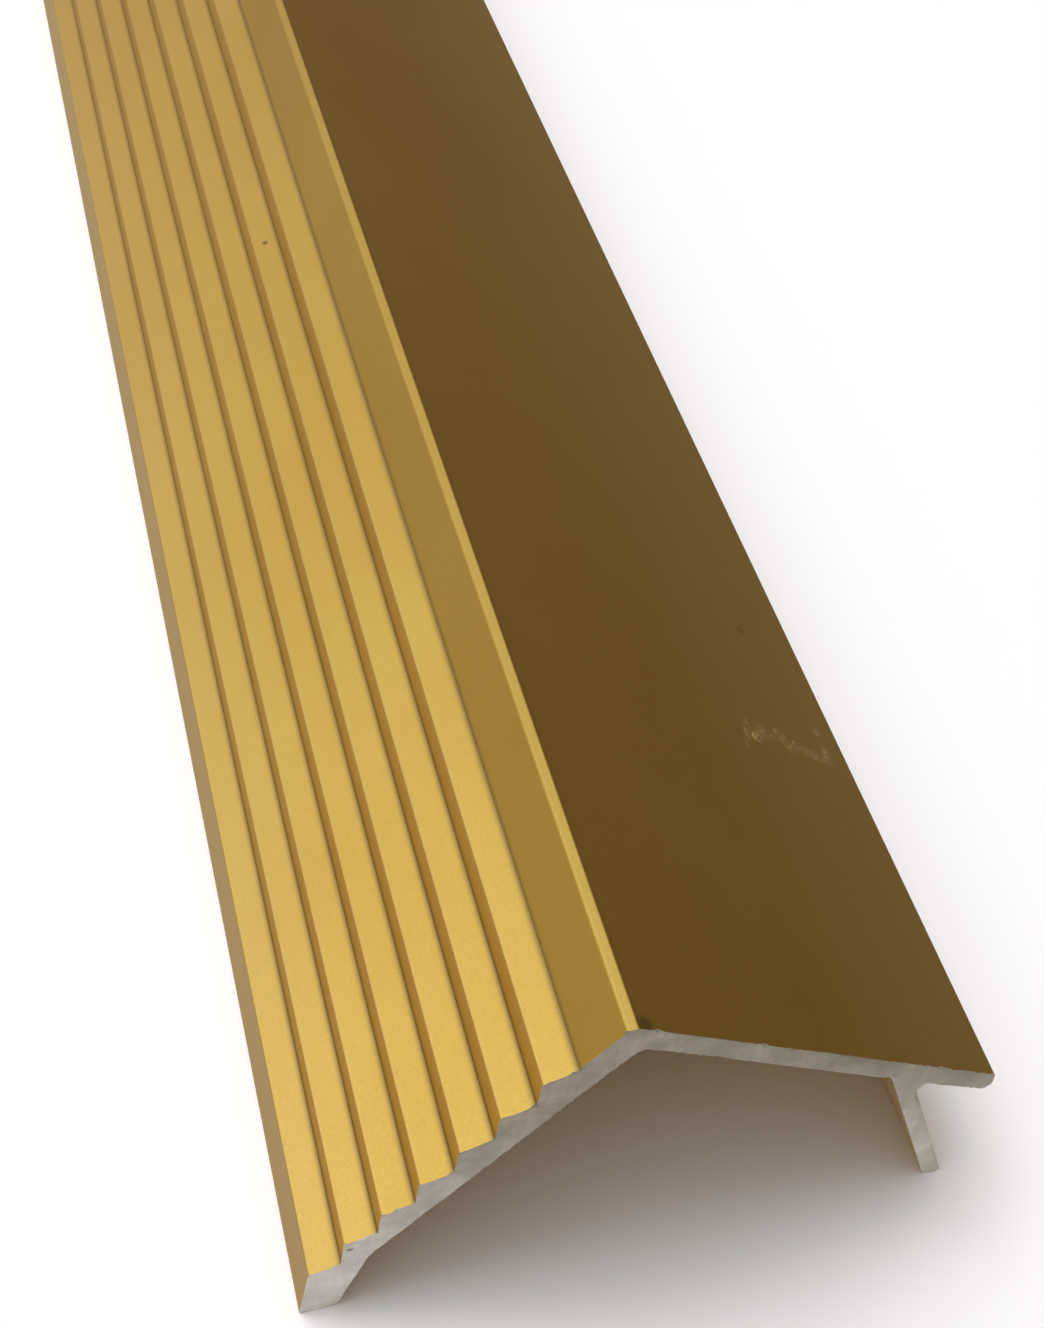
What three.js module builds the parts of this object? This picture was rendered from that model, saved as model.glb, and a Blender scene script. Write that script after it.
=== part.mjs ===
// Threshold strip: an aluminium extrusion that stands on two feet over a floor joint.
// A ribbed ramp climbs from the toe to a ridge with a narrow flat land along it, a smooth flange falls
// from there to a lip, and a leg under the flange carries it. The extrusion has no screw holes, so two
// foam mounting strips inside the hollow, one along each foot, bond it to the floor.
// Millimetres. X runs across the strip from toe to lip, Y runs along it, Z is up, and both feet
// stand on Z = 0. The origin is the middle of the strip at floor level.
import * as THREE from 'three';

// Extrusion as a whole
const LENGTH = 900;
const OVERALL_WIDTH = 35;

// Ridge: the ramp and the flange would meet at the apex, but a narrow land is cut across it
const APEX = new THREE.Vector2(14.26, 22.33);
const LAND_DOWN_RAMP = 0.32;
const LAND_DOWN_FLANGE = 0.32;

// Ribbed ramp: each rib is a tread that tilts up towards the apex, then a riser
const RIB_COUNT = 7;
const FIRST_RIB = new THREE.Vector2(0.44, 4.2);
const RIB_PITCH = new THREE.Vector2(1.7, 2.43);
const TREAD_RUN = 1.6;
const TREAD_RISE = 0.66;

// Smooth flange, which ends in the lip
const FLANGE_SLOPE = 30.2;
const FLANGE_WALL = 1.35;

// Leg, leaning out towards its foot
const LEG_LEAN = 22;
const LEG_WALL = 0.95;
const LEG_FOOT_INSET = 0.2;

// Underside of the ramp
const TOE_FOOT_WIDTH = 1.9;
const TOE_INNER_TOP = new THREE.Vector2(3.42, 5.11);
const RAMP_UNDERSIDE_SLOPE = 52.8;

// Edge radii
const FOOT_RADIUS = 0.12;
const RIB_EDGE_RADIUS = 0.12;
const RIB_ROOT_RADIUS = 0.08;
const LAND_RAMP_RADIUS = 0.3;
const LAND_FLANGE_RADIUS = 0.15;
const LIP_TOP_RADIUS = 0.4;
const LIP_BOTTOM_RADIUS = 0.45;
const LEG_ROOT_RADIUS = 0.5;
const HOLLOW_RADIUS = 0.5;
const TOE_INNER_RADIUS = 3;

// Foam mounting strips and their paper release liners
const STRIP_SETBACK = 20;
const STRIP_WIDTH = 6.2;
const STRIP_TOP = 4.4;
const STRIP_CORNER_RADIUS = 0.25;
const GLUE_GAP = 0.3;
const LINER_THICKNESS = 0.15;
const LINER_TAB = 5;

// Round corners are drawn with one straight step for each of these angles
const ARC_STEP = THREE.MathUtils.degToRad(18);

const goldAnodised = new THREE.MeshStandardMaterial({
  color: '#d0a548',
  roughness: 0.42,
  metalness: 0.9,
});
const greyFoam = new THREE.MeshStandardMaterial({ color: '#3a3b3d', roughness: 0.95, metalness: 0 });
const linerPaper = new THREE.MeshStandardMaterial({ color: '#e4e0d2', roughness: 0.6, metalness: 0 });

// A corner of an outline: where it would be if it were sharp, and its radius.
function corner(at, radius) {
  return { at, radius };
}

// A line through a point, at an angle in degrees above the X direction.
function line(at, degrees) {
  const angle = THREE.MathUtils.degToRad(degrees);
  return { at, along: new THREE.Vector2(Math.cos(angle), Math.sin(angle)) };
}

// The same line moved sideways, to the left of its own direction.
function shifted({ at, along }, distance) {
  const left = new THREE.Vector2(-along.y, along.x);
  return { at: at.clone().addScaledVector(left, distance), along };
}

// Where two lines meet.
function meet(a, b) {
  const between = b.at.clone().sub(a.at);
  const reach = between.cross(b.along) / a.along.cross(b.along);
  return a.at.clone().addScaledVector(a.along, reach);
}

// Where a line reaches a height.
function atHeight(slanted, height) {
  return meet(slanted, line(new THREE.Vector2(0, height), 0));
}

// The points of one rounded corner between its two neighbours.
function arcPoints(before, { at, radius }, after) {
  const back = before.at.clone().sub(at).normalize();
  const ahead = after.at.clone().sub(at).normalize();
  const halfAngle = Math.acos(back.dot(ahead)) / 2;
  const middle = back.clone().add(ahead).normalize();
  const centre = at.clone().addScaledVector(middle, radius / Math.sin(halfAngle));
  const setback = radius / Math.tan(halfAngle);
  const start = at.clone().addScaledVector(back, setback).sub(centre);
  const end = at.clone().addScaledVector(ahead, setback).sub(centre);
  const turn = Math.atan2(start.cross(end), start.dot(end));
  const steps = Math.max(1, Math.ceil(Math.abs(turn) / ARC_STEP));
  const points = [];
  for (let step = 0; step <= steps; step += 1) {
    const arm = start.clone().rotateAround(new THREE.Vector2(), (turn * step) / steps);
    points.push(centre.clone().add(arm));
  }
  return points;
}

// A closed outline with every corner rounded, moved so that X = 0 is the middle of the strip.
function roundedShape(corners) {
  const points = corners.flatMap((here, index) => {
    const before = corners.at(index - 1);
    const after = corners[(index + 1) % corners.length];
    return arcPoints(before, here, after);
  });
  points.forEach((point) => {
    point.x -= OVERALL_WIDTH / 2;
  });
  return new THREE.Shape(points);
}

// A section in the XZ plane, drawn out along Y and centred on Y = 0.
function extrudeAlongY(shape, length) {
  const geometry = new THREE.ExtrudeGeometry(shape, { depth: length, steps: 1, bevelEnabled: false });
  geometry.rotateX(Math.PI / 2);
  geometry.translate(0, length / 2, 0);
  return geometry;
}

const flangeTop = line(APEX, -FLANGE_SLOPE);
const lipEnd = line(new THREE.Vector2(OVERALL_WIDTH, 0), 90);
const lipTopCorner = meet(flangeTop, lipEnd);
const flangeUnderside = shifted(flangeTop, -FLANGE_WALL);
const legOuterFace = line(new THREE.Vector2(OVERALL_WIDTH - LEG_FOOT_INSET, 0), 90 + LEG_LEAN);
const legInnerFace = shifted(legOuterFace, LEG_WALL);
const rampUnderside = line(TOE_INNER_TOP, RAMP_UNDERSIDE_SLOPE);
const toeInnerFoot = new THREE.Vector2(TOE_FOOT_WIDTH, 0);
const toeInnerFace = {
  at: toeInnerFoot,
  along: TOE_INNER_TOP.clone().sub(toeInnerFoot).normalize(),
};

// The stepped top of the ramp, from the toe to the last tread.
function ribCorners() {
  const corners = [];
  for (let rib = 0; rib < RIB_COUNT; rib += 1) {
    const nose = FIRST_RIB.clone().addScaledVector(RIB_PITCH, rib);
    const root = nose.clone().add(new THREE.Vector2(TREAD_RUN, TREAD_RISE));
    corners.push(corner(nose, RIB_EDGE_RADIUS));
    corners.push(corner(root, RIB_ROOT_RADIUS));
  }
  return corners;
}

// The two edges of the land along the ridge.
function ridgeCorners() {
  const lastRoot = FIRST_RIB.clone().addScaledVector(RIB_PITCH, RIB_COUNT - 1);
  lastRoot.add(new THREE.Vector2(TREAD_RUN, TREAD_RISE));
  const downRamp = lastRoot.sub(APEX).normalize();
  return [
    corner(APEX.clone().addScaledVector(downRamp, LAND_DOWN_RAMP), LAND_RAMP_RADIUS),
    corner(APEX.clone().addScaledVector(flangeTop.along, LAND_DOWN_FLANGE), LAND_FLANGE_RADIUS),
  ];
}

// The edges of the lip, which ends in an upright face.
function lipCorners() {
  return [
    corner(lipTopCorner, LIP_TOP_RADIUS),
    corner(meet(flangeUnderside, lipEnd), LIP_BOTTOM_RADIUS),
  ];
}

// Down the leg's outer face and up its inner face.
function legCorners() {
  return [
    corner(meet(flangeUnderside, legOuterFace), LEG_ROOT_RADIUS),
    corner(atHeight(legOuterFace, 0), FOOT_RADIUS),
    corner(atHeight(legInnerFace, 0), FOOT_RADIUS),
    corner(meet(flangeUnderside, legInnerFace), LEG_ROOT_RADIUS),
  ];
}

// The roof of the hollow and the inside of the toe.
function hollowCorners() {
  return [
    corner(meet(flangeUnderside, rampUnderside), HOLLOW_RADIUS),
    corner(TOE_INNER_TOP, TOE_INNER_RADIUS),
    corner(toeInnerFoot, FOOT_RADIUS),
  ];
}

function makeExtrudedProfile() {
  const outline = roundedShape([
    corner(new THREE.Vector2(0, 0), FOOT_RADIUS),
    ...ribCorners(),
    ...ridgeCorners(),
    ...lipCorners(),
    ...legCorners(),
    ...hollowCorners(),
  ]);
  const mesh = new THREE.Mesh(extrudeAlongY(outline, LENGTH), goldAnodised);
  mesh.name = 'extruded_profile';
  return mesh;
}

// A foam strip: its sloping side lies along the inner face of a foot, its other side is upright.
function makeMountingStrip(name, footFace, uprightX) {
  const upright = line(new THREE.Vector2(uprightX, 0), 90);
  const base = line(new THREE.Vector2(0, LINER_THICKNESS), 0);
  const top = line(new THREE.Vector2(0, STRIP_TOP), 0);
  const outline = roundedShape([
    corner(meet(footFace, base), STRIP_CORNER_RADIUS),
    corner(meet(footFace, top), STRIP_CORNER_RADIUS),
    corner(meet(upright, top), STRIP_CORNER_RADIUS),
    corner(meet(upright, base), STRIP_CORNER_RADIUS),
  ]);
  const mesh = new THREE.Mesh(extrudeAlongY(outline, LENGTH - 2 * STRIP_SETBACK), greyFoam);
  mesh.name = name;
  return mesh;
}

// A paper liner over the foam's floor side, with a pull tab past the foam at the near end.
function makeReleaseLiner(name, fromX, toX) {
  const length = LENGTH - 2 * STRIP_SETBACK + LINER_TAB;
  const geometry = new THREE.BoxGeometry(toX - fromX, length, LINER_THICKNESS);
  const mesh = new THREE.Mesh(geometry, linerPaper);
  mesh.position.set((fromX + toX - OVERALL_WIDTH) / 2, -LINER_TAB / 2, LINER_THICKNESS / 2);
  mesh.name = name;
  return mesh;
}

const toeGlueFace = shifted(toeInnerFace, -GLUE_GAP);
const legGlueFace = shifted(legInnerFace, GLUE_GAP);
const toeStripFoot = atHeight(toeGlueFace, LINER_THICKNESS).x;
const legStripFoot = atHeight(legGlueFace, LINER_THICKNESS).x;

const thresholdStrip = new THREE.Group();
thresholdStrip.add(makeExtrudedProfile());
thresholdStrip.add(makeMountingStrip('toe_mounting_strip', toeGlueFace, toeStripFoot + STRIP_WIDTH));
thresholdStrip.add(makeMountingStrip('leg_mounting_strip', legGlueFace, legStripFoot - STRIP_WIDTH));
thresholdStrip.add(makeReleaseLiner('toe_release_liner', toeStripFoot, toeStripFoot + STRIP_WIDTH));
thresholdStrip.add(makeReleaseLiner('leg_release_liner', legStripFoot - STRIP_WIDTH, legStripFoot));

export default thresholdStrip;
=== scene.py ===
import math

import bpy
import numpy as np
from mathutils import Matrix, Vector
from mathutils.geometry import delaunay_2d_cdt


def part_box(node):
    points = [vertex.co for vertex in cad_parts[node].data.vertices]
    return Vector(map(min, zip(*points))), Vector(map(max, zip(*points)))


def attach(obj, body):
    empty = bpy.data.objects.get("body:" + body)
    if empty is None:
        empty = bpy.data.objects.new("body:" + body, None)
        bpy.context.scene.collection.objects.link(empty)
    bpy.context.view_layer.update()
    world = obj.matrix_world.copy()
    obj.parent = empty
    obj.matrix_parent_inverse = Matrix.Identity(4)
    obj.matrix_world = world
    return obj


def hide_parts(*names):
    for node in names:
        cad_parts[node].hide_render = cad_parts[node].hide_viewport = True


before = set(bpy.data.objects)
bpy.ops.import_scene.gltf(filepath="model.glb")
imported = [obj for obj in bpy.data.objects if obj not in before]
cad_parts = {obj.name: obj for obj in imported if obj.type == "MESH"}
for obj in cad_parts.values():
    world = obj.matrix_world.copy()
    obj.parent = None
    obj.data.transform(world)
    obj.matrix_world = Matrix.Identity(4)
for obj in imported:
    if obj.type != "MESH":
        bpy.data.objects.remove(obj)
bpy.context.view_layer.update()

MM = 0.001
SEED = 20
RANDOM = np.random.default_rng(SEED)

# Where the CAD frame puts the extrusion
PROFILE_LOW, PROFILE_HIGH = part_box("extruded_profile")
NEAR_END = PROFILE_LOW.y
FAR_END = PROFILE_HIGH.y
FLOOR_LEVEL = PROFILE_LOW.z

# The section in millimetres, X measured from the front of the toe
OVERALL_WIDTH = 35
APEX = np.array([14.26, 22.33])
LAND_DOWN_RAMP = 0.32
LAND_DOWN_FLANGE = 0.32
RIB_COUNT = 7
FIRST_RIB = np.array([0.44, 4.2])
RIB_PITCH = np.array([1.7, 2.43])
TREAD = np.array([1.6, 0.66])
FLANGE_SLOPE = 30.2
FLANGE_WALL = 1.35
LEG_LEAN = 22
LEG_WALL = 0.95
LEG_FOOT_INSET = 0.2
TOE_FOOT_WIDTH = 1.9
TOE_INNER_TOP = np.array([3.42, 5.11])
RAMP_UNDERSIDE_SLOPE = 52.8
FOOT_RADIUS = 0.12
RIB_EDGE_RADIUS = 0.12
RIB_ROOT_RADIUS = 0.08
LAND_RAMP_RADIUS = 0.3
LAND_FLANGE_RADIUS = 0.15
LIP_TOP_RADIUS = 0.4
LIP_BOTTOM_RADIUS = 0.45
LEG_ROOT_RADIUS = 0.5
HOLLOW_RADIUS = 0.5
TOE_INNER_RADIUS = 3

# The flange's direction from the ridge to the lip, and the direction that its top faces
FLANGE_DOWN = np.array([math.cos(math.radians(FLANGE_SLOPE)), -math.sin(math.radians(FLANGE_SLOPE))])
FLANGE_OUT = np.array([-FLANGE_DOWN[1], FLANGE_DOWN[0]])
# A point this close to the flange's top is on it, and a stretch of the outline runs down it where the
# cosine of the angle between them is over this
ON_FACE = 0.02
PARALLEL = 0.999999

# How finely the extrusion is meshed, in millimetres
ARC_STEP = math.radians(9)
FACE_STEP = 0.4
FINEST_FACE_STEP = 0.07
FACE_GROWTH = 0.5
SLIVER = 0.04
MARK_STEP = 0.08
SLICE_STEP = 5
SLICE_GROWTH = 1.35
FIRST_SLICE = 0.03
CAP_STEP = 0.13
CAP_JITTER = 0.02
ROW_SPACING = 0.87
CAP_MARGIN = 0.6
# The triangulation keeps what is inside the outline, and joins points closer than this
ONLY_INSIDE = 1
JOIN_WITHIN = 1e-7
SHARP_ANGLE = math.radians(35)

# Edge wear fades over this distance from an outside corner below a height, and painted shade from a rib's
# root
WEAR_REACH = 0.16
WEAR_TOP = 21
ROOT_SHADE_REACH = 0.16

# The saw cut: an edge made ragged by coarse and fine waves and by chips, which fades over a few slices
EDGE_WAVES = (90, 300)
EDGE_WAVE_DEPTH = 0.027
EDGE_SLICES = 6
CHIPS_PER_END = 36
CHIP_DEPTHS = (0.03, 0.105)
CHIP_SIZES = (0.06, 0.2)
# The arcs left by the blade's teeth, a second set of them from its chatter, and torn grains
SAW_RADIUS = 125
SAW_CENTRE = np.array([0.7 * OVERALL_WIDTH, -SAW_RADIUS])
SAW_PITCH = 0.42
SAW_DEPTH = 0.012
CHATTER_SHARE = 0.6
CHATTER_RATE = 4.3
TORN_SHARE = 0.7

# A line of scraped-up metal across the flange, and the patch around it that is meshed finely. Places are
# millimetres down the flange and from the near end.
SCRAPE_DOWN = (14.8, 23.5)
SCRAPE_ALONG = (18.5, 22.6)
SCRAPE_CLEARANCE = 0.5
SCRAPE_HEIGHT = 0.14
SCRAPE_SHOWS = 3.2
SCRAPE_LEAST = 0.3
SCRAPE_BLOBS = (
    # down the flange, from the near end, reach along the strip, reach down the flange, share of the height
    (16.91, 20.23, 0.30, 0.34, 1.0),
    (16.55, 21.10, 0.45, 0.10, 0.28),
    (16.20, 20.34, 0.45, 0.12, 0.36),
    (15.85, 19.60, 0.40, 0.10, 0.26),
    (17.50, 20.70, 0.50, 0.42, 0.34),
    (18.20, 20.60, 0.30, 0.40, 0.22),
    (18.76, 21.05, 0.24, 0.20, 0.45),
    (19.05, 20.60, 0.40, 0.30, 0.34),
    (19.35, 20.05, 0.34, 0.30, 0.40),
    (19.92, 20.54, 0.10, 0.10, 0.9),
    (20.10, 20.15, 0.30, 0.34, 0.24),
    (20.60, 20.05, 0.32, 0.30, 0.36),
    (21.20, 19.85, 0.34, 0.34, 0.40),
    (21.80, 19.75, 0.32, 0.34, 0.32),
    (22.36, 20.47, 0.34, 0.20, 0.45),
    (22.25, 19.90, 0.40, 0.26, 0.48),
    (22.35, 21.86, 0.30, 0.24, 0.40),
)

# Small dark spots: the place on the section, the distance from the near end, the radius and how dark it is.
# On the gold they are a pit on the sixth tread, a faint mark far down the flange and a chip where the flange
# starts. On the sawn face there is a nick near the toe. Each is darkest over this share of its radius.
SPOT_CORE = 0.4
PIT_PLACE = FIRST_RIB + 5 * RIB_PITCH + 0.5 * TREAD
GOLD_SPOTS = (
    (*PIT_PLACE, 63.6, 0.26, 0.8),
    (*(APEX + 19.7 * FLANGE_DOWN), 29.0, 0.35, 0.3),
    (*(APEX + 0.8 * FLANGE_DOWN), 0.3, 0.55, 0.6),
)
SAWN_SPOTS = ((2.44, 6.21, 0.0, 0.22, 0.8),)

BODY = "root"


# ---------------------------------------------------------------- camera

CAMERA_PLACE = Vector((-24.289, -486.248, 91.012)) * MM
CAMERA_RIGHT = Vector((0.96148, -0.26007, 0.08904))
CAMERA_UP = Vector((0.13940, 0.74047, 0.65747))
CAMERA_AHEAD = Vector((0.23692, 0.61973, -0.74820))
CAMERA_LENS = 50.66
SENSOR = 36
CLIP_START = 5 * MM
CLIP_END = 50


def make_camera():
    data = bpy.data.cameras.new("camera")
    data.lens = CAMERA_LENS
    data.sensor_width = SENSOR
    data.sensor_fit = "AUTO"
    data.clip_start = CLIP_START
    data.clip_end = CLIP_END
    camera = bpy.data.objects.new("camera", data)
    bpy.context.scene.collection.objects.link(camera)
    axes = Matrix((CAMERA_RIGHT, CAMERA_UP, -CAMERA_AHEAD)).transposed()
    camera.matrix_world = Matrix.Translation(CAMERA_PLACE) @ axes.to_4x4()
    bpy.context.scene.camera = camera


# ---------------------------------------------------------------- floor and light

FLOOR_SIZE = 6
FLOOR_ROUGHNESS = 0.9
FLOOR_COLOUR = (0.94, 0.95, 0.97)
# Painted reflection: what the metal mirrors in place of the floor's colour, with painted lamplight on the
# toe's side and painted shade on the lip's side. Under the strip it mirrors the floor as it is.
FLOOR_PAINTED_REFLECTION_TOE_SIDE = (0.42, 0.385, 0.30)
FLOOR_PAINTED_REFLECTION_LIP_SIDE = (0.17, 0.15, 0.115)
# The room is brightest overhead, to the left and ahead, and dim low down to the right
ROOM_BRIGHT_SIDE = Vector((-0.30, 0.20, 0.93))
ROOM_GAIN = 1.22
ROOM_OFFSET = -0.12
ROOM_LEAST = 0.10
ROOM_TINT_POWER = 1.4
ROOM_DIM_COLOUR = (1.0, 0.70, 0.42)
ROOM_BRIGHT_COLOUR = (1.0, 1.02, 1.10)
# What a view from low down sees above the floor: a plain pale backdrop
BACKDROP_COLOUR = (0.80, 0.80, 0.80)
# Two panels: a weak one to the left, which the metal mirrors, and one high up, which lights only matt
# surfaces, so that the floor is pale and the hollow shaded
LIGHT_AIM = (0, -0.4, 0)
PANEL_SIZE = (1.2, 1.2)
LEFT_PANEL_PLACE = (-1.2, -0.05, 1.55)
LEFT_PANEL_POWER = 1.8
HIGH_PANEL_PLACE = (-0.4, 0.0, 2.0)
HIGH_PANEL_POWER = 22


def make_floor():
    bpy.ops.mesh.primitive_plane_add(size=FLOOR_SIZE, location=(0, 0, FLOOR_LEVEL))
    floor = bpy.context.object
    floor.name = "floor"
    nodes = Nodes("floor")
    mirrored = nodes.add("ShaderNodeLightPath").outputs["Is Glossy Ray"]
    where = nodes.add("ShaderNodeTexCoord").outputs["Object"]
    across = nodes.add("ShaderNodeSeparateXYZ", {0: where}).outputs["X"]
    beside = nodes.math("GREATER_THAN", nodes.math("ABSOLUTE", across), PROFILE_HIGH.x)
    lip_side = nodes.math("GREATER_THAN", across, 0)
    # Painted reflection: beside the strip, glossy rays see a dimmer floor, lighter on the toe's side and
    # shaded on the lip's side
    painted_reflection = nodes.mix(lip_side, FLOOR_PAINTED_REFLECTION_TOE_SIDE, FLOOR_PAINTED_REFLECTION_LIP_SIDE)
    colour = nodes.mix(nodes.math("MULTIPLY", mirrored, beside), FLOOR_COLOUR, painted_reflection)
    nodes.finish(nodes.principled(colour, FLOOR_ROUGHNESS, metallic=0))
    floor.data.materials.append(nodes.material)


def make_room_light():
    world = bpy.data.worlds.new("room")
    bpy.context.scene.world = world
    world.use_nodes = True
    nodes = Nodes(world)
    direction = nodes.add("ShaderNodeTexCoord").outputs["Generated"]
    toward_light = nodes.along(direction, ROOM_BRIGHT_SIDE)
    level = nodes.math("MULTIPLY_ADD", toward_light, ROOM_GAIN, ROOM_OFFSET)
    level = nodes.math("MAXIMUM", level, ROOM_LEAST)
    tint = nodes.math("POWER", level, ROOM_TINT_POWER, clamp=True)
    colour = nodes.mix(tint, ROOM_DIM_COLOUR, ROOM_BRIGHT_COLOUR)
    room = nodes.add("ShaderNodeBackground", {"Color": colour, "Strength": level})
    backdrop = nodes.add("ShaderNodeBackground", {"Color": (*BACKDROP_COLOUR, 1)})
    seen = nodes.add("ShaderNodeLightPath").outputs["Is Camera Ray"]
    shown = nodes.add("ShaderNodeMixShader", {0: seen, 1: room.outputs[0], 2: backdrop.outputs[0]})
    nodes.add("ShaderNodeOutputWorld", {"Surface": shown.outputs[0]})


def make_softbox(name, place, aim, size, power):
    data = bpy.data.lights.new(name, "AREA")
    data.shape = "RECTANGLE"
    data.size = size[0]
    data.size_y = size[1]
    data.energy = power
    light = bpy.data.objects.new(name, data)
    bpy.context.scene.collection.objects.link(light)
    light.location = place
    light.rotation_mode = "QUATERNION"
    light.rotation_quaternion = (Vector(aim) - Vector(place)).to_track_quat("-Z", "Y")
    light.visible_camera = False
    return light


def light_the_scene():
    make_room_light()
    make_softbox("left_panel", LEFT_PANEL_PLACE, LIGHT_AIM, PANEL_SIZE, LEFT_PANEL_POWER)
    high = make_softbox("high_panel", HIGH_PANEL_PLACE, LIGHT_AIM, PANEL_SIZE, HIGH_PANEL_POWER)
    high.visible_glossy = False
    bpy.context.scene.view_settings.view_transform = "Standard"


# ---------------------------------------------------------------- materials


class Nodes:
    """Makes the nodes of a material, or of the world, and links them, in one call each."""

    def __init__(self, owner):
        self.material = bpy.data.materials.new(owner) if isinstance(owner, str) else owner
        self.material.use_nodes = True
        self.tree = self.material.node_tree
        self.tree.nodes.clear()

    def add(self, kind, links=None, **settings):
        node = self.tree.nodes.new(kind)
        for key, value in settings.items():
            setattr(node, key, value)
        for socket, source in (links or {}).items():
            self.put(node.inputs[socket], source)
        return node

    def put(self, socket, source):
        if isinstance(source, bpy.types.NodeSocket):
            self.tree.links.new(source, socket)
        else:
            socket.default_value = source

    def put_colour(self, socket, colour):
        self.put(socket, colour if isinstance(colour, bpy.types.NodeSocket) else (*colour, 1))

    def principled(self, colour, roughness, metallic, **extra):
        shader = self.add("ShaderNodeBsdfPrincipled")
        values = {"Roughness": roughness, "Metallic": metallic, **extra}
        self.put_colour(shader.inputs["Base Color"], colour)
        for name, value in values.items():
            self.put(shader.inputs[name], value)
        return shader

    def along(self, direction, axis):
        """How far direction points along axis, from -1 to 1."""
        node = self.add("ShaderNodeVectorMath", {0: direction, 1: axis.normalized()}, operation="DOT_PRODUCT")
        return node.outputs["Value"]

    def place(self, scale):
        """The point on the object, stretched by scale, one number for each axis, in 1/metre."""
        where = self.add("ShaderNodeTexCoord")
        mapping = self.add("ShaderNodeMapping", {"Vector": where.outputs["Object"], "Scale": scale})
        return mapping.outputs[0]

    def noise(self, scale, detail=3.0, roughness=0.55):
        scale = scale if isinstance(scale, tuple) else (scale, scale, scale)
        node = self.add("ShaderNodeTexNoise", {"Vector": self.place(scale)})
        node.inputs["Scale"].default_value = 1
        node.inputs["Detail"].default_value = detail
        node.inputs["Roughness"].default_value = roughness
        return node.outputs["Fac"]

    def attribute(self, name):
        return self.add("ShaderNodeAttribute", attribute_name=name).outputs["Fac"]

    def math(self, operation, a, b=0.0, c=0.0, clamp=False):
        node = self.add("ShaderNodeMath", {0: a, 1: b, 2: c}, operation=operation)
        node.use_clamp = clamp
        return node.outputs[0]

    def spread(self, value, low, high, to_low, to_high):
        """value from low to high becomes to_low to to_high, clamped."""
        node = self.add("ShaderNodeMapRange", {"Value": value, "From Min": low, "From Max": high})
        node.inputs["To Min"].default_value = to_low
        node.inputs["To Max"].default_value = to_high
        return node.outputs["Result"]

    def vary(self, noise, to_low, to_high):
        """A noise's usual range becomes to_low to to_high."""
        return self.spread(noise, 0.3, 0.7, to_low, to_high)

    def mix(self, share, a, b):
        """Colour a where share is 0, b where it is 1."""
        node = self.add("ShaderNodeMix", data_type="RGBA")
        self.put(node.inputs["Factor"], share)
        colour_sockets = [s for s in node.inputs if s.type == "RGBA"]
        for socket, source in zip(colour_sockets, (a, b)):
            self.put_colour(socket, source)
        return [s for s in node.outputs if s.type == "RGBA"][0]

    def bump(self, height, strength, distance, under=None):
        node = self.add("ShaderNodeBump", {"Height": height, "Strength": strength, "Distance": distance})
        if under is not None:
            self.tree.links.new(under, node.inputs["Normal"])
        return node.outputs["Normal"]

    def spotted(self, colour, spots):
        """The colour with small dark spots on it."""
        for section_x, section_z, along, radius, share in spots:
            centre = in_frame(np.array([section_x, section_z]), along)[0]
            ends = {0: self.place((1, 1, 1)), 1: tuple(float(c) for c in centre)}
            gap = self.add("ShaderNodeVectorMath", ends, operation="DISTANCE").outputs["Value"]
            shown = self.spread(gap, SPOT_CORE * radius * MM, radius * MM, share, 0)
            colour = self.mix(shown, colour, GRIME_AND_SHADE)
        return colour

    def finish(self, shader):
        self.add("ShaderNodeOutputMaterial", {"Surface": shader.outputs[0]})


GOLD = (0.735, 0.500, 0.086)
GOLD_DEEP = (0.69, 0.450, 0.068)
GOLD_LOW_PALE = (0.75, 0.515, 0.135)
# The gold is paler towards the floor, on the toe and the lowest ribs: by this share at the toe, none at this
# height
LOW_PALE_SHARE = 0.9
LOW_PALE_TOP = FLOOR_LEVEL + 11 * MM
# The flange is paler towards the lip: by this share at the lip's edge, none at this X
GOLD_PALE = (0.88, 0.64, 0.21)
PALE_SHARE = 0.8
PALE_FROM = 7 * MM
# The land along the ridge is painted darker than the faces beside it: painted shade
GOLD_RIDGE_SHADE = (0.54, 0.37, 0.063)
RIDGE_SHADE_SHARE = 0.6
RIDGE_FROM = FLOOR_LEVEL + 22.0 * MM
RIDGE_FULL = FLOOR_LEVEL + 22.1 * MM
GOLD_WORN = (0.80, 0.60, 0.30)
# Metal torn up by the scrape, with dull grains of its own colour and bright ones that are painted glints
TORN_DULL = (0.66, 0.49, 0.28)
TORN_GLINT = (1.0, 0.90, 0.64)
# Sawn metal with dull streaks: lighter near the feet, which is painted light, and darker towards the ridge,
# which is painted shade
SAWN_FOOT_LIT = (0.88, 0.85, 0.80)
SAWN_FOOT_LIT_DARK = (0.62, 0.59, 0.54)
SAWN_RIDGE_SHADED = (0.46, 0.42, 0.33)
SAWN_RIDGE_SHADED_DARK = (0.28, 0.25, 0.19)
SAWN_LIT_BELOW = FLOOR_LEVEL + 4 * MM
SAWN_SHADED_ABOVE = FLOOR_LEVEL + 15 * MM
# Dirt's colour for the grain and the spots, and also the colour of the painted shade at the ribs' roots
GRIME_AND_SHADE = (0.16, 0.10, 0.035)

FOAM_DARK = (0.040, 0.041, 0.044)
FOAM_PALE = (0.062, 0.063, 0.066)
FOAM_CELL_SHADE = (0.018, 0.018, 0.020)
PAPER_PALE = (0.78, 0.75, 0.66)
PAPER_DARK = (0.72, 0.69, 0.59)
PAPER_FIBRE = (0.66, 0.63, 0.54)

# How fine each texture is, in spots per metre across, along and up
GOLD_GRAIN = 9000
GOLD_SPECKLE = 3200
GOLD_CLOUD = 70
DIE_LINES = (5200, 14, 5200)
SAWN_STREAKS = (2600, 2600, 380)
SAWN_GRAIN = 7000
SAWN_PATCHES = 650
FOAM_CELLS = (1400, 1400, 1400)
FOAM_CLOUD = 120
PAPER_FIBRES = (900, 260, 900)
PAPER_CLOUD = 60


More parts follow.
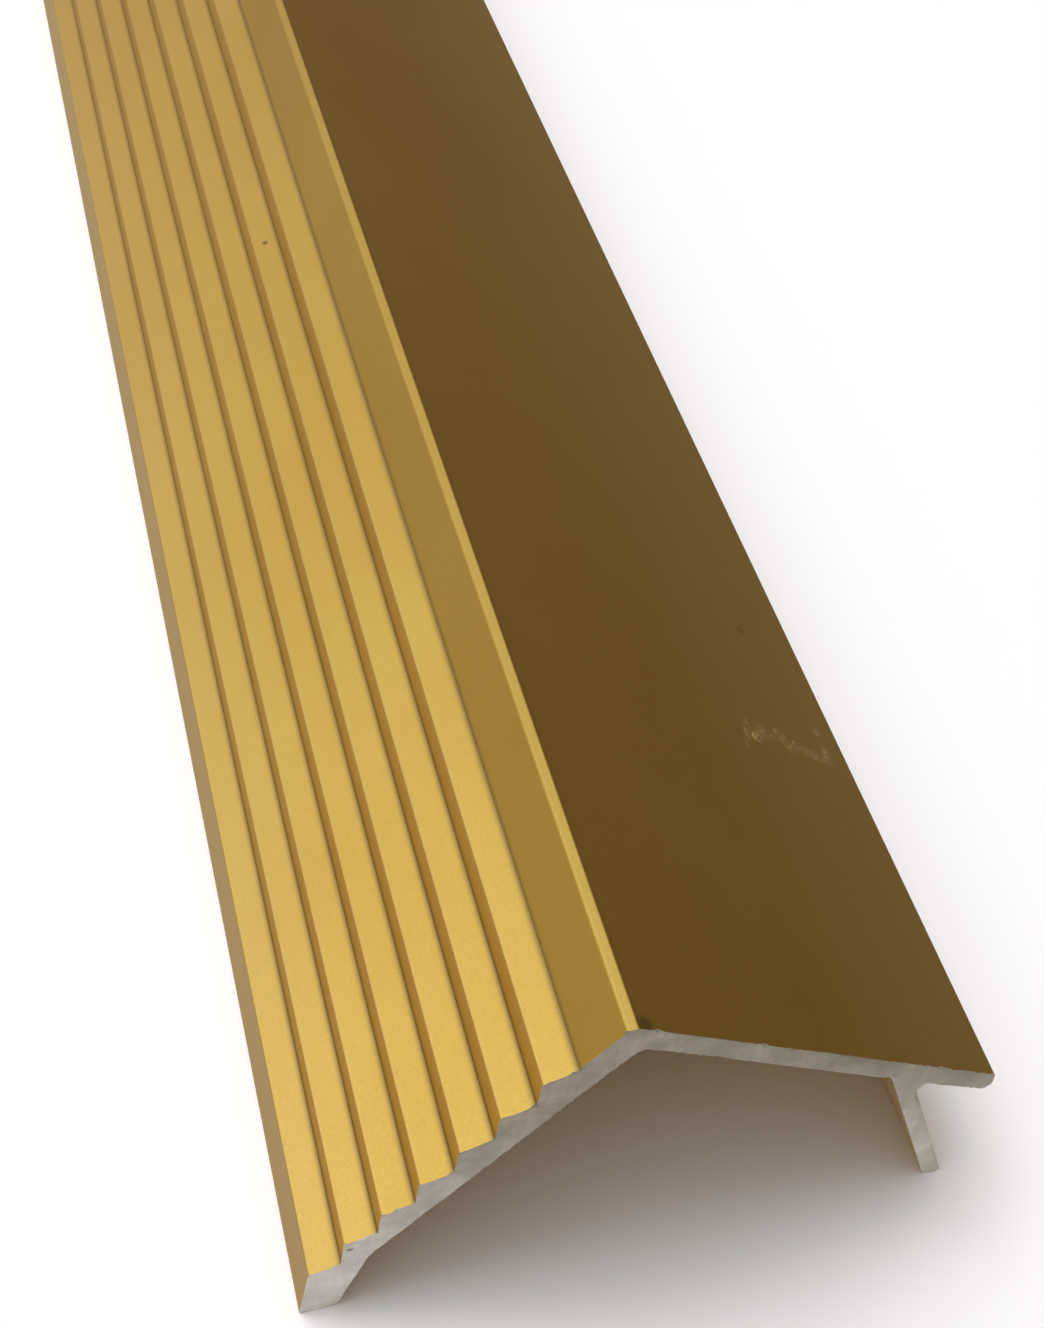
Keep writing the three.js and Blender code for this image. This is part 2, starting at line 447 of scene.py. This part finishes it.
def gold_material():
    """Satin anodised gold: a dyed oxide layer on etched metal, with faint die lines along the strip."""
    nodes = Nodes("gold_anodised")
    grain = nodes.noise(GOLD_GRAIN, detail=2)
    speckle = nodes.noise(GOLD_SPECKLE, detail=3)
    die_lines = nodes.noise(DIE_LINES, detail=2)
    cloud = nodes.noise(GOLD_CLOUD, detail=3)
    wear = nodes.attribute("wear")
    root_shade = nodes.attribute("root_shade")
    scrape = nodes.attribute("scrape")

    where = nodes.add("ShaderNodeSeparateXYZ", {0: nodes.place((1, 1, 1))})
    low_pale = nodes.spread(where.outputs["Z"], FLOOR_LEVEL, LOW_PALE_TOP, LOW_PALE_SHARE, 0)
    pale = nodes.spread(where.outputs["X"], PALE_FROM, PROFILE_HIGH.x, 0, PALE_SHARE)
    tone = nodes.mix(nodes.spread(cloud, 0.35, 0.65, 0, 1), GOLD, GOLD_DEEP)
    tone = nodes.mix(low_pale, tone, GOLD_LOW_PALE)
    tone = nodes.mix(pale, tone, GOLD_PALE)
    # Painted shade on the land along the ridge
    ridge = nodes.spread(where.outputs["Z"], RIDGE_FROM, RIDGE_FULL, 0, RIDGE_SHADE_SHARE)
    tone = nodes.mix(ridge, tone, GOLD_RIDGE_SHADE)
    lined = nodes.mix(nodes.spread(die_lines, 0.3, 0.75, 0, 0.22), tone, GOLD_DEEP)
    grained = nodes.mix(nodes.spread(speckle, 0.35, 0.7, 0, 0.3), lined, GOLD_DEEP)
    grained = nodes.mix(nodes.spread(grain, 0.35, 0.65, 0, 0.07), grained, GRIME_AND_SHADE)
    ragged_wear = nodes.math("MULTIPLY", wear, nodes.vary(speckle, 0.02, 0.22))
    worn = nodes.mix(ragged_wear, grained, GOLD_WORN)
    # Painted shade: darker at each rib's root
    root_shaded = nodes.mix(nodes.math("MULTIPLY", root_shade, 0.6), worn, GRIME_AND_SHADE)
    # The scrape's bright grains are painted glints
    torn = nodes.mix(nodes.spread(grain, 0.42, 0.6, 0, 1), TORN_DULL, TORN_GLINT)
    ragged_scrape = nodes.math("MULTIPLY", scrape, nodes.spread(speckle, 0.35, 0.6, 0.35, 1))
    scraped = nodes.mix(ragged_scrape, root_shaded, torn)
    spotted = nodes.spotted(scraped, GOLD_SPOTS)

    rough = nodes.vary(grain, 0.34, 0.42)
    rough = nodes.math("ADD", rough, nodes.math("MULTIPLY", scrape, 0.15))
    rough = nodes.math("ADD", rough, nodes.math("MULTIPLY", root_shade, 0.15))
    normal = nodes.bump(die_lines, 0.10, 0.004 * MM)
    normal = nodes.bump(grain, 0.6, 0.006 * MM, normal)
    shader = nodes.principled(spotted, rough, 1.0, Normal=normal)
    shader.inputs["Coat Weight"].default_value = 0.6
    shader.inputs["Coat Roughness"].default_value = 0.35
    shader.inputs["Coat IOR"].default_value = 1.6
    nodes.finish(shader)
    return nodes.material


def sawn_material():
    """Bare aluminium as the saw leaves it: fine torn streaks and a dull, uneven grey, with painted light near
    the feet and painted shade higher up.
    """
    nodes = Nodes("sawn_aluminium")
    streaks = nodes.noise(SAWN_STREAKS, detail=4)
    grain = nodes.noise(SAWN_GRAIN, detail=3)
    patches = nodes.noise(SAWN_PATCHES, detail=3)
    height = nodes.add("ShaderNodeSeparateXYZ", {0: nodes.place((1, 1, 1))}).outputs["Z"]
    # Painted light near the feet and painted shade towards the ridge
    painted_shade_up = nodes.spread(height, SAWN_LIT_BELOW, SAWN_SHADED_ABOVE, 0, 1)
    light = nodes.mix(painted_shade_up, SAWN_FOOT_LIT, SAWN_RIDGE_SHADED)
    dark = nodes.mix(painted_shade_up, SAWN_FOOT_LIT_DARK, SAWN_RIDGE_SHADED_DARK)
    tone = nodes.mix(nodes.vary(patches, 0, 1), light, dark)
    streaked = nodes.mix(nodes.spread(streaks, 0.35, 0.7, 0, 0.5), tone, dark)
    spotted = nodes.spotted(streaked, SAWN_SPOTS)
    rough = nodes.vary(grain, 0.45, 0.65)
    normal = nodes.bump(streaks, 0.4, 0.02 * MM)
    normal = nodes.bump(grain, 0.3, 0.01 * MM, normal)
    shader = nodes.principled(spotted, rough, 0.4, Normal=normal)
    nodes.finish(shader)
    return nodes.material


def foam_material():
    """Closed-cell foam: dark grey, matt, with cut cells on its sides and painted shade in them."""
    nodes = Nodes("closed_cell_foam")
    where = nodes.place(FOAM_CELLS)
    cells = nodes.add("ShaderNodeTexVoronoi", {"Vector": where}, feature="F1")
    cells.inputs["Scale"].default_value = 1
    depth = cells.outputs["Distance"]
    cloud = nodes.noise(FOAM_CLOUD, detail=3)
    base = nodes.mix(nodes.vary(cloud, 0, 1), FOAM_DARK, FOAM_PALE)
    # Painted shade in the middle of each cut cell
    colour = nodes.mix(nodes.spread(depth, 0.1, 0.6, 0.6, 0), base, FOAM_CELL_SHADE)
    normal = nodes.bump(depth, 0.7, 0.08 * MM)
    rough = nodes.vary(cloud, 0.88, 0.97)
    nodes.finish(nodes.principled(colour, rough, 0.0, Normal=normal))
    return nodes.material


def liner_material():
    """Silicone-coated release paper: off-white, a little glossy, with paper fibres under the coating."""
    nodes = Nodes("release_paper")
    fibres = nodes.noise(PAPER_FIBRES, detail=4)
    cloud = nodes.noise(PAPER_CLOUD, detail=2)
    base = nodes.mix(nodes.vary(cloud, 0, 1), PAPER_PALE, PAPER_DARK)
    colour = nodes.mix(nodes.spread(fibres, 0.4, 0.7, 0, 0.4), base, PAPER_FIBRE)
    normal = nodes.bump(fibres, 0.3, 0.02 * MM)
    rough = nodes.vary(fibres, 0.38, 0.5)
    nodes.finish(nodes.principled(colour, rough, 0.0, Normal=normal))
    return nodes.material


# ---------------------------------------------------------------- the section


def line(at, degrees):
    angle = math.radians(degrees)
    return np.array(at, float), np.array([math.cos(angle), math.sin(angle)])


def shifted(slanted, distance):
    at, along = slanted
    return at + distance * np.array([-along[1], along[0]]), along


def cross(a, b):
    return a[0] * b[1] - a[1] * b[0]


def meet(a, b):
    reach = cross(b[0] - a[0], b[1]) / cross(a[1], b[1])
    return a[0] + a[1] * reach


def at_height(slanted, height):
    return meet(slanted, line((0, height), 0))


def section_corners():
    """The outline's corners in order, each with its radius, the way the CAD section has them."""
    flange_top = line(APEX, -FLANGE_SLOPE)
    lip_end = line((OVERALL_WIDTH, 0), 90)
    lip_top = meet(flange_top, lip_end)
    flange_under = shifted(flange_top, -FLANGE_WALL)
    leg_outer = line((OVERALL_WIDTH - LEG_FOOT_INSET, 0), 90 + LEG_LEAN)
    leg_inner = shifted(leg_outer, LEG_WALL)
    ramp_under = line(TOE_INNER_TOP, RAMP_UNDERSIDE_SLOPE)
    corners = [((0, 0), FOOT_RADIUS)]
    for rib in range(RIB_COUNT):
        nose = FIRST_RIB + RIB_PITCH * rib
        corners.append((nose, RIB_EDGE_RADIUS))
        corners.append((nose + TREAD, RIB_ROOT_RADIUS))
    last_root = FIRST_RIB + RIB_PITCH * (RIB_COUNT - 1) + TREAD
    down_ramp = (last_root - APEX) / np.linalg.norm(last_root - APEX)
    corners.append((APEX + down_ramp * LAND_DOWN_RAMP, LAND_RAMP_RADIUS))
    corners.append((APEX + flange_top[1] * LAND_DOWN_FLANGE, LAND_FLANGE_RADIUS))
    corners.append((lip_top, LIP_TOP_RADIUS))
    corners.append((meet(flange_under, lip_end), LIP_BOTTOM_RADIUS))
    corners.append((meet(flange_under, leg_outer), LEG_ROOT_RADIUS))
    corners.append((at_height(leg_outer, 0), FOOT_RADIUS))
    corners.append((at_height(leg_inner, 0), FOOT_RADIUS))
    corners.append((meet(flange_under, leg_inner), LEG_ROOT_RADIUS))
    corners.append((meet(flange_under, ramp_under), HOLLOW_RADIUS))
    corners.append((TOE_INNER_TOP, TOE_INNER_RADIUS))
    corners.append(((TOE_FOOT_WIDTH, 0), FOOT_RADIUS))
    return [(np.array(at, float), radius) for at, radius in corners]


def arc(before, at, radius, after):
    """The points of one rounded corner, and whether it is an outside corner (1) or an inside one (-1)."""
    back = (before - at) / np.linalg.norm(before - at)
    ahead = (after - at) / np.linalg.norm(after - at)
    half_angle = math.acos(float(back @ ahead)) / 2
    middle = (back + ahead) / np.linalg.norm(back + ahead)
    centre = at + middle * radius / math.sin(half_angle)
    setback = radius / math.tan(half_angle)
    start = at + back * setback - centre
    end = at + ahead * setback - centre
    turn = math.atan2(cross(start, end), float(start @ end))
    steps = max(2, math.ceil(abs(turn) / ARC_STEP))
    points = []
    for step in range(steps + 1):
        angle = turn * step / steps
        spin = np.array([[math.cos(angle), -math.sin(angle)], [math.sin(angle), math.cos(angle)]])
        points.append(centre + spin @ start)
    # The outline runs clockwise, so an outside corner turns to the right
    return points, 1 if turn < 0 else -1


def scrape_span(a, b):
    """Where the scrape's patch lies on the way from a to b, or None off the top of the flange."""
    direction = (b - a) / np.linalg.norm(b - a)
    if float(direction @ FLANGE_DOWN) < PARALLEL:
        return None
    start = float((a - APEX) @ FLANGE_DOWN)
    return SCRAPE_DOWN[0] - start, SCRAPE_DOWN[1] - start


def between(a, b):
    """Points strictly between a and b, closer together near both ends and along the scrape."""
    length = float(np.linalg.norm(b - a))
    fine = scrape_span(a, b)
    stops = [0.0]
    while stops[-1] < length:
        here = stops[-1]
        from_end = min(here, length - here)
        step = min(FACE_STEP, max(FINEST_FACE_STEP, FACE_GROWTH * from_end))
        if fine and fine[0] < here < fine[1]:
            step = MARK_STEP
        stops.append(here + step)
    share = np.array(stops[1:-1]) / length
    if len(share) and 1 - share[-1] < SLIVER / length:
        share = share[:-1]
    return [a + (b - a) * s for s in share]


def section_points():
    """The outline as points in millimetres, with the wear and the painted shade of the ribs' roots at each
    point, from 0 to 1.
    """
    corners = section_corners()
    count = len(corners)
    arcs = []
    for index, (at, radius) in enumerate(corners):
        before = corners[index - 1][0]
        after = corners[(index + 1) % count][0]
        arcs.append(arc(before, at, radius, after))
    points = []
    tips = []
    for index, (curve, side) in enumerate(arcs):
        tips.append((curve[len(curve) // 2], side, corners[index][1]))
        points.extend(curve)
        points.extend(between(curve[-1], arcs[(index + 1) % count][0][0]))
    points = np.array(points)
    worn = [tip for tip, side, _ in tips if side > 0 and tip[1] < WEAR_TOP]
    roots = [tip for tip, side, radius in tips if side < 0 and radius == RIB_ROOT_RADIUS]
    return points, fading(points, worn, WEAR_REACH), fading(points, roots, ROOT_SHADE_REACH)


def fading(points, tips, reach):
    """How close each point is to the nearest tip: 1 at it, fading to 0 over reach."""
    tips = np.array(tips)
    gap = np.linalg.norm(points[:, None, :] - tips[None, :, :], axis=2).min(axis=1)
    return np.exp(-((gap / reach) ** 2))


# ---------------------------------------------------------------- the extrusion


def slices():
    """Distances from the near end in millimetres: fine at both sawn ends and along the scrape."""
    length = (FAR_END - NEAR_END) / MM
    ends = [0.0]
    step = FIRST_SLICE
    while step < SLICE_STEP:
        ends.append(ends[-1] + step)
        step *= SLICE_GROWTH
    low, high = SCRAPE_ALONG
    stops = [s for s in ends if s < low - SCRAPE_CLEARANCE]
    stops += list(np.arange(low, high, MARK_STEP))
    stops += list(np.arange(high + SCRAPE_CLEARANCE, length - ends[-1], SLICE_STEP))
    stops += [length - s for s in reversed(ends)]
    return np.array(stops)


def smooth_noise(count, knots):
    """Closed smooth noise: count values of either sign, mostly under 2, with about knots bumps in all."""
    rough = RANDOM.normal(size=knots)
    where = np.arange(count) / count * knots
    low = where.astype(int) % knots
    share = where - where.astype(int)
    share = share * share * (3 - 2 * share)
    return rough[low] * (1 - share) + rough[(low + 1) % knots] * share


def ragged_edge(points):
    """How far each outline point's sawn edge is drawn back into the strip, in millimetres."""
    depth = sum(np.abs(smooth_noise(len(points), waves)) for waves in EDGE_WAVES) * EDGE_WAVE_DEPTH
    for _ in range(CHIPS_PER_END):
        centre = points[RANDOM.integers(len(points))]
        size = RANDOM.uniform(*CHIP_SIZES)
        gap = np.linalg.norm(points - centre, axis=1)
        depth += RANDOM.uniform(*CHIP_DEPTHS) * np.exp(-((gap / size) ** 2))
    return depth


def scrape_height(down, along):
    """Height of the torn-up metal above the flange in millimetres, and how scraped it is from 0 to 1."""
    height = np.zeros_like(down)
    for blob_down, blob_along, long, wide, tall in SCRAPE_BLOBS:
        gap = ((down - blob_down) / wide) ** 2 + ((along - blob_along) / long) ** 2
        height = np.maximum(height, tall * np.exp(-gap))
    torn = RANDOM.uniform(SCRAPE_LEAST, 1.0, size=height.shape)
    return height * torn * SCRAPE_HEIGHT, np.clip(height * SCRAPE_SHOWS, 0, 1) * torn


def tube_points(points):
    """The whole side surface: a ring of outline points for each slice, with its place and scrape values."""
    stops = slices()
    rings = np.repeat(points[None, :, :], len(stops), axis=0)
    along = np.repeat(stops[:, None], len(points), axis=1)
    down = np.broadcast_to((points - APEX) @ FLANGE_DOWN, along.shape)
    on_top = np.abs((points - APEX) @ FLANGE_OUT) < ON_FACE
    height, scraped = scrape_height(down, along)
    rings = rings + (height * on_top)[:, :, None] * FLANGE_OUT
    for first, step in ((0, 1), (-1, -1)):
        edge = ragged_edge(points)
        for ring in range(EDGE_SLICES):
            along[first + step * ring] += step * edge * (1 - ring / EDGE_SLICES)
    return rings, along, scraped * on_top, stops[-1]


def tube_faces(ring_count, count):
    """The side surface's faces, from each ring to the next."""
    faces = []
    following = [*range(1, count), 0]
    for ring in range(ring_count - 1):
        low = ring * count
        high = low + count
        faces += [(low + a, low + b, high + b, high + a) for a, b in enumerate(following)]
    return faces


def cap_mesh(outline):
    """Points inside the outline, and fine triangles over the sawn face. They count the outline's points
    first, then the ones inside."""
    low = outline.min(axis=0)
    high = outline.max(axis=0)
    columns = np.arange(low[0], high[0], CAP_STEP)
    rows = np.arange(low[1], high[1], CAP_STEP * ROW_SPACING)
    grid = [(x + (row % 2) * CAP_STEP / 2, z) for row, z in enumerate(rows) for x in columns]
    grid = np.array(grid) + RANDOM.uniform(-CAP_JITTER, CAP_JITTER, size=(len(grid), 2))
    inside = grid[within(grid, outline)]
    gap = np.array([np.linalg.norm(outline - p, axis=1).min() for p in inside])
    inside = inside[gap > CAP_STEP * CAP_MARGIN]
    everything = np.vstack([outline, inside])
    count = len(outline)
    edges = [(i, (i + 1) % count) for i in range(count)]
    places = [Vector(p) for p in everything]
    _, _, faces, sources, _, _ = delaunay_2d_cdt(places, edges, [], ONLY_INSIDE, JOIN_WITHIN)
    order = [source[0] for source in sources]
    faces = [tuple(order[i] for i in face) for face in faces]
    return inside, faces


def within(points, outline):
    """Which points are inside the outline, by counting the edges to their right."""
    inside = np.zeros(len(points), bool)
    following = np.roll(outline, -1, axis=0)
    for a, b in zip(outline, following):
        spans = (a[1] > points[:, 1]) != (b[1] > points[:, 1])
        if not spans.any():
            continue
        crossing = (b[0] - a[0]) * (points[:, 1] - a[1]) / (b[1] - a[1]) + a[0]
        inside ^= spans & (points[:, 0] < crossing)
    return inside


def saw_marks(points):
    """How deep the blade's arcs are at each point of the sawn face, in millimetres."""
    from_centre = np.linalg.norm(points - SAW_CENTRE, axis=1) / SAW_PITCH
    teeth = np.abs(np.sin(from_centre * math.pi))
    chatter = CHATTER_SHARE * np.abs(np.sin(from_centre * CHATTER_RATE))
    return SAW_DEPTH * (teeth + chatter) + RANDOM.uniform(0, SAW_DEPTH * TORN_SHARE, size=len(points))


def in_frame(section, along):
    """Section points in millimetres and distances from the near end, as points in the CAD frame."""
    x = (section[..., 0] - OVERALL_WIDTH / 2) * MM
    z = section[..., 1] * MM + FLOOR_LEVEL
    y = NEAR_END + along * MM
    return np.stack([x, y, z], axis=-1).reshape(-1, 3)


def make_profile(gold, sawn):
    """The extrusion: a gold tube closed by a sawn face at each end."""
    points, wear, root_shade = section_points()
    rings, along, scraped, length = tube_points(points)
    ring_count, count = along.shape
    places = [in_frame(rings, along)]
    faces = tube_faces(ring_count, count)
    side_faces = len(faces)
    inside, cap_faces = cap_mesh(points)
    for end in (0, 1):
        depth = saw_marks(inside)
        places.append(in_frame(inside, depth if end == 0 else length - depth))
        edge_start = end * (ring_count - 1) * count
        inside_start = ring_count * count + end * len(inside)
        lookup = [*range(edge_start, edge_start + count), *range(inside_start, inside_start + len(inside))]
        for face in cap_faces:
            corners = tuple(lookup[i] for i in face)
            faces.append(corners if end == 0 else corners[::-1])
    mesh = bpy.data.meshes.new("extruded_profile_finished")
    mesh.from_pydata(np.vstack(places).tolist(), [], faces)
    mesh.materials.append(gold)
    mesh.materials.append(sawn)
    material_index = np.ones(len(faces), int)
    material_index[:side_faces] = 0
    mesh.polygons.foreach_set("material_index", material_index)
    unmarked = np.zeros(2 * len(inside))
    store(mesh, "wear", np.concatenate([np.tile(wear, ring_count), unmarked]))
    # The painted shade at the ribs' roots, which the gold reads
    store(mesh, "root_shade", np.concatenate([np.tile(root_shade, ring_count), unmarked]))
    store(mesh, "scrape", np.concatenate([scraped.ravel(), unmarked]))
    shade(add_piece("extruded_profile_finished", mesh, "extruded_profile"))


def store(mesh, name, values):
    """One number for each point of the mesh, which its material reads by name."""
    attribute = mesh.attributes.new(name, "FLOAT", "POINT")
    attribute.data.foreach_set("value", np.asarray(values, np.float32))


def add_piece(name, mesh, node):
    """A piece that rides on the body and stands for a CAD node."""
    mesh.validate()
    piece = bpy.data.objects.new(name, mesh)
    bpy.context.scene.collection.objects.link(piece)
    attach(piece, BODY)
    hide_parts(node)
    return piece


def shade(piece):
    """Round stretches look round and corners stay crisp; flat faces keep their own direction."""
    for polygon in piece.data.polygons:
        polygon.use_smooth = True
    weighted = piece.modifiers.new("flat_faces_stay_flat", "WEIGHTED_NORMAL")
    weighted.keep_sharp = True
    piece.data.set_sharp_from_angle(angle=SHARP_ANGLE)


# ---------------------------------------------------------------- foam strips and liners


FOAM_STEP = 0.35 * MM
FOAM_SLICES = 700
FOAM_UNEVEN = 0.035 * MM
# A CAD point this close to the near end is on it, and its place is rounded to these decimals of a metre
SAME_PLACE = 1e-6
PLACE_DECIMALS = 7


def make_foam(node, foam):
    """A foam strip: its CAD node's section drawn out finely, with cut sides that are slightly uneven."""
    low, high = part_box(node)
    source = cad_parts[node].data
    near = [v.co for v in source.vertices if abs(v.co.y - low.y) < SAME_PLACE]
    section = {(round(v.x, PLACE_DECIMALS), round(v.z, PLACE_DECIMALS)) for v in near}
    middle = np.mean(np.array(list(section)), axis=0)
    ring = sorted(section, key=lambda p: math.atan2(p[1] - middle[1], p[0] - middle[0]))
    ring = finer(np.array(ring), FOAM_STEP)
    stops = np.linspace(low.y, high.y, FOAM_SLICES)
    points = []
    pull = np.abs(RANDOM.normal(0, FOAM_UNEVEN, size=(len(stops), len(ring))))
    inward = (middle - ring) / np.linalg.norm(middle - ring, axis=1)[:, None]
    for row, y in enumerate(stops):
        moved = ring + inward * pull[row][:, None]
        points.append(np.column_stack([moved[:, 0], np.full(len(ring), y), moved[:, 1]]))
    count = len(ring)
    faces = []
    for row in range(len(stops) - 1):
        low_ring = row * count
        high_ring = low_ring + count
        for a, b in enumerate([*range(1, count), 0]):
            faces.append((low_ring + a, high_ring + a, high_ring + b, low_ring + b))
    faces.append(tuple(range(count)))
    faces.append(tuple(range((len(stops) - 1) * count, len(stops) * count))[::-1])
    mesh = bpy.data.meshes.new(node + "_foam")
    mesh.from_pydata(np.vstack(points).tolist(), [], faces)
    mesh.materials.append(foam)
    piece = add_piece(node + "_foam", mesh, node)
    for polygon in mesh.polygons:
        polygon.use_smooth = polygon.loop_total == 4


def finer(ring, step):
    """The closed ring with extra points so that no side is longer than step."""
    points = []
    for a, b in zip(ring, np.roll(ring, -1, axis=0)):
        parts = max(1, math.ceil(np.linalg.norm(b - a) / step))
        points += [a + (b - a) * i / parts for i in range(parts)]
    return np.array(points)


TAB_CURL = 0.9 * MM
TAB_ROWS = 14
LINER_ROWS = 300
LINER_COLUMNS = 9


def make_liner(node, paper):
    """A release liner: a thin sheet with cut edges whose pull tab curls up a little."""
    low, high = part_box(node)
    foam_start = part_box(node.replace("release_liner", "mounting_strip"))[0].y
    tab_stops = np.linspace(low.y, foam_start, TAB_ROWS)
    stops = np.concatenate([tab_stops, np.linspace(foam_start, high.y, LINER_ROWS)[1:]])
    across = np.linspace(low.x, high.x, LINER_COLUMNS)
    points = []
    for level in (low.z, high.z):
        for y in stops:
            tab = max(0.0, (foam_start - y) / (foam_start - low.y))
            for x in across:
                points.append((x, y, level + TAB_CURL * tab * tab))
    rows, columns = len(stops), len(across)
    layer = rows * columns

    def at(level, row, column):
        return level * layer + row * columns + column

    faces = []
    for row in range(rows - 1):
        for column in range(columns - 1):
            square = [(row, column), (row + 1, column), (row + 1, column + 1), (row, column + 1)]
            faces.append(tuple(at(0, *place) for place in square))
            faces.append(tuple(at(1, *place) for place in reversed(square)))
        for column, flip in ((0, False), (columns - 1, True)):
            side = [at(0, row, column), at(1, row, column), at(1, row + 1, column), at(0, row + 1, column)]
            faces.append(tuple(side[::-1] if flip else side))
    for column in range(columns - 1):
        for row, flip in ((0, True), (rows - 1, False)):
            side = [at(0, row, column), at(1, row, column), at(1, row, column + 1), at(0, row, column + 1)]
            faces.append(tuple(side[::-1] if flip else side))
    mesh = bpy.data.meshes.new(node + "_paper")
    mesh.from_pydata(points, [], faces)
    mesh.materials.append(paper)
    add_piece(node + "_paper", mesh, node)


# ---------------------------------------------------------------- the scene

make_camera()
light_the_scene()
make_floor()
make_profile(gold_material(), sawn_material())
foam_look = foam_material()
paper_look = liner_material()
for side_name in ("toe", "leg"):
    make_foam(side_name + "_mounting_strip", foam_look)
    make_liner(side_name + "_release_liner", paper_look)
